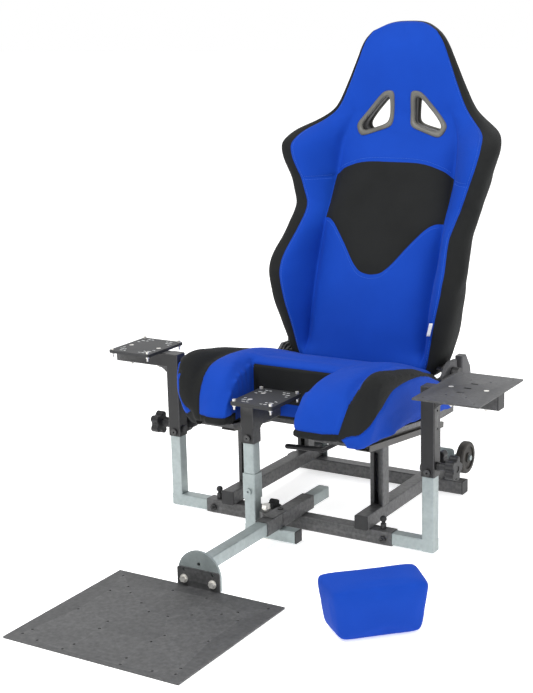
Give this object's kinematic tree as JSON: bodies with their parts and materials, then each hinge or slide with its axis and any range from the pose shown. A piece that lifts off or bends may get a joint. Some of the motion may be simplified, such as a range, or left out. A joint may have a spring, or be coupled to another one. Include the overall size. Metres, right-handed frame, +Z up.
{
  "type": "racing simulator seat with frame",
  "caption": "Reclining bucket seat on a square-tube frame with two side accessory arms, a centre stick mount, a sliding pedal plate and a loose insert cushion.",
  "frame": {"origin": "on the floor, under the middle of the front cross tube", "axes": "+Z up, the sitter faces -Y, the sitter's left is +X"},
  "size_m": [1.0674, 1.5164, 1.208],
  "materials": {
    "black_steel": "satin powder coat",
    "plate_steel": "fine textured powder coat",
    "zinc_steel": "satin zinc plating",
    "rail_steel": "satin",
    "bolt_steel": "bright zinc",
    "black_screws": "black oxide",
    "black_plastic": "fine grain",
    "grey_plastic": "fine grain",
    "bezel_plastic": "fine grain",
    "wheel_rubber": "matte",
    "blue_fabric": "smooth knitted cloth",
    "black_fabric": "knitted mesh cloth"
  },
  "bodies": {
    "base": {"front_cross_tube": "black_steel", "rear_cross_tube": "black_steel", "side_rail_left": "black_steel", "side_rail_right": "black_steel", "tube_end_caps": "black_plastic", "pillars_left": "black_steel", "pillars_right": "black_steel", "pedal_sleeve": "black_steel", "seat_rail_left": "rail_steel", "seat_rail_right": "rail_steel", "caster_brackets": "zinc_steel", "plunger_bodies": "black_screws", "frame_screws": "black_screws", "stick_collar": "black_steel", "pivot_bolt": "bolt_steel"},
    "arm_left": {"arm_slider_left": "zinc_steel"},
    "arm_right": {"arm_slider_right": "zinc_steel"},
    "post_left": {"post_left": "black_steel", "post_cap_left": "black_plastic", "throttle_plate": "plate_steel", "throttle_plate_screws": "bolt_steel"},
    "post_right": {"post_right": "black_steel", "post_cap_right": "black_plastic", "side_stick_plate": "plate_steel", "side_stick_bolts": "bolt_steel"},
    "pedals": {"pedal_tube": "zinc_steel", "pedal_bracket": "zinc_steel", "pedal_plate": "plate_steel", "pedal_bolts": "bolt_steel"},
    "stick_base": {"stick_base_tube": "zinc_steel", "stick_base_cap": "black_plastic", "stick_coupler": "zinc_steel", "stick_riser": "zinc_steel"},
    "stick_post": {"stick_post": "black_steel", "stick_post_cap": "black_plastic", "stick_plate": "plate_steel", "stick_plate_bolts": "bolt_steel"},
    "seat": {"seat_slides": "rail_steel", "seat_pan": "black_steel", "cushion_rear": "blue_fabric", "cushion_bolster_left": "blue_fabric", "cushion_bolster_right": "blue_fabric", "recliner_brackets": "black_steel", "recliner_covers": "grey_plastic"},
    "backrest": {"backrest_pad": "blue_fabric", "backrest_shell": "black_fabric", "harness_bezels": "bezel_plastic", "backrest_hinge": "black_steel"},
    "slide_lever": {"slide_lever": "black_steel"},
    "recline_lever": {"recline_lever": "black_plastic"},
    "wheel_left": {"caster_wheel_left": "wheel_rubber"},
    "wheel_right": {"caster_wheel_right": "wheel_rubber"},
    "plunger_left": {"plunger_pin_left": "black_plastic"},
    "plunger_right": {"plunger_pin_right": "black_plastic"},
    "knob_outer_left": {"knob_outer_left": "black_plastic"},
    "knob_outer_right": {"knob_outer_right": "black_plastic"},
    "knob_rear_left": {"knob_rear_left": "black_plastic"},
    "knob_rear_right": {"knob_rear_right": "black_plastic"},
    "sleeve_knob": {"sleeve_knob": "black_plastic"},
    "insert_cushion": {"insert_cushion": "blue_fabric"}
  },
  "joints": [
    {"name": "seat_slide", "type": "slide", "parent": "base", "child": "seat", "axis": [0, 0.9925, -0.1219], "range_m": [-0.015, 0.11]},
    {"name": "backrest_recline", "type": "hinge", "parent": "seat", "child": "backrest", "pos_m": [0, 0.36, 0.335], "axis": [-1, 0, 0], "range_deg": [-10, 40]},
    {"name": "arm_left_reach", "type": "slide", "parent": "base", "child": "arm_left", "axis": [1, 0, 0], "range_m": [-0.05, 0.08]},
    {"name": "arm_right_reach", "type": "slide", "parent": "base", "child": "arm_right", "axis": [-1, 0, 0], "range_m": [-0.05, 0.08]},
    {"name": "post_left_height", "type": "slide", "parent": "arm_left", "child": "post_left", "axis": [0, 0, 1], "range_m": [-0.06, 0.08]},
    {"name": "post_right_height", "type": "slide", "parent": "arm_right", "child": "post_right", "axis": [0, 0, 1], "range_m": [-0.06, 0.08]},
    {"name": "pedal_reach", "type": "slide", "parent": "base", "child": "pedals", "axis": [0, -1, 0], "range_m": [-0.15, 0.12]},
    {"name": "stick_swing", "type": "hinge", "parent": "base", "child": "stick_base", "pos_m": [-0.03, -0.105, 0], "axis": [0, 0, 1], "range_deg": [-18, 6]},
    {"name": "stick_height", "type": "slide", "parent": "stick_base", "child": "stick_post", "axis": [0, 0, 1], "range_m": [-0.045, 0.025]},
    {"name": "knob_outer_left_turn", "type": "hinge", "parent": "post_left", "child": "knob_outer_left", "pos_m": [0.4, 0, 0.213], "axis": [1, 0, 0], "range_deg": [0, 180]},
    {"name": "knob_rear_left_turn", "type": "hinge", "parent": "post_left", "child": "knob_rear_left", "pos_m": [0.355, 0.04, 0.213], "axis": [0, 1, 0], "range_deg": [0, 180]},
    {"name": "plunger_left_pull", "type": "slide", "parent": "base", "child": "plunger_left", "axis": [0, 0, 1], "range_m": [0, 0.008], "stiffness_N_per_m": 900, "springref_m": -0.003},
    {"name": "wheel_left_spin", "type": "hinge", "parent": "base", "child": "wheel_left", "pos_m": [0.236, 0.476, 0.076], "axis": [1, 0, 0], "continuous": true},
    {"name": "knob_outer_right_turn", "type": "hinge", "parent": "post_right", "child": "knob_outer_right", "pos_m": [-0.4, 0, 0.213], "axis": [-1, 0, 0], "range_deg": [0, 180]},
    {"name": "knob_rear_right_turn", "type": "hinge", "parent": "post_right", "child": "knob_rear_right", "pos_m": [-0.355, 0.04, 0.213], "axis": [0, 1, 0], "range_deg": [0, 180]},
    {"name": "plunger_right_pull", "type": "slide", "parent": "base", "child": "plunger_right", "axis": [0, 0, 1], "range_m": [0, 0.008], "stiffness_N_per_m": 900, "springref_m": -0.003},
    {"name": "wheel_right_spin", "type": "hinge", "parent": "base", "child": "wheel_right", "pos_m": [-0.236, 0.476, 0.076], "axis": [1, 0, 0], "continuous": true},
    {"name": "sleeve_knob_turn", "type": "hinge", "parent": "base", "child": "sleeve_knob", "pos_m": [-0.04, -0.045, 0.0525], "axis": [-1, 0, 0], "range_deg": [0, 180]},
    {"name": "slide_lever_lift", "type": "hinge", "parent": "seat", "child": "slide_lever", "pos_m": [0.158, 0.06, 0.222], "axis": [-1, 0, 0], "range_deg": [0, 12], "stiffness_Nm_per_rad": 8, "springref_deg": -8.59},
    {"name": "recline_lever_lift", "type": "hinge", "parent": "seat", "child": "recline_lever", "pos_m": [0.255, 0.36, 0.335], "axis": [-1, 0, 0], "range_deg": [0, 25], "stiffness_Nm_per_rad": 1.5, "springref_deg": -17.19},
    {"name": "insert_cushion_lift", "type": "slide", "parent": "base", "child": "insert_cushion", "axis": [0, 0, 1], "range_m": [0, 0.2]}
  ]
}
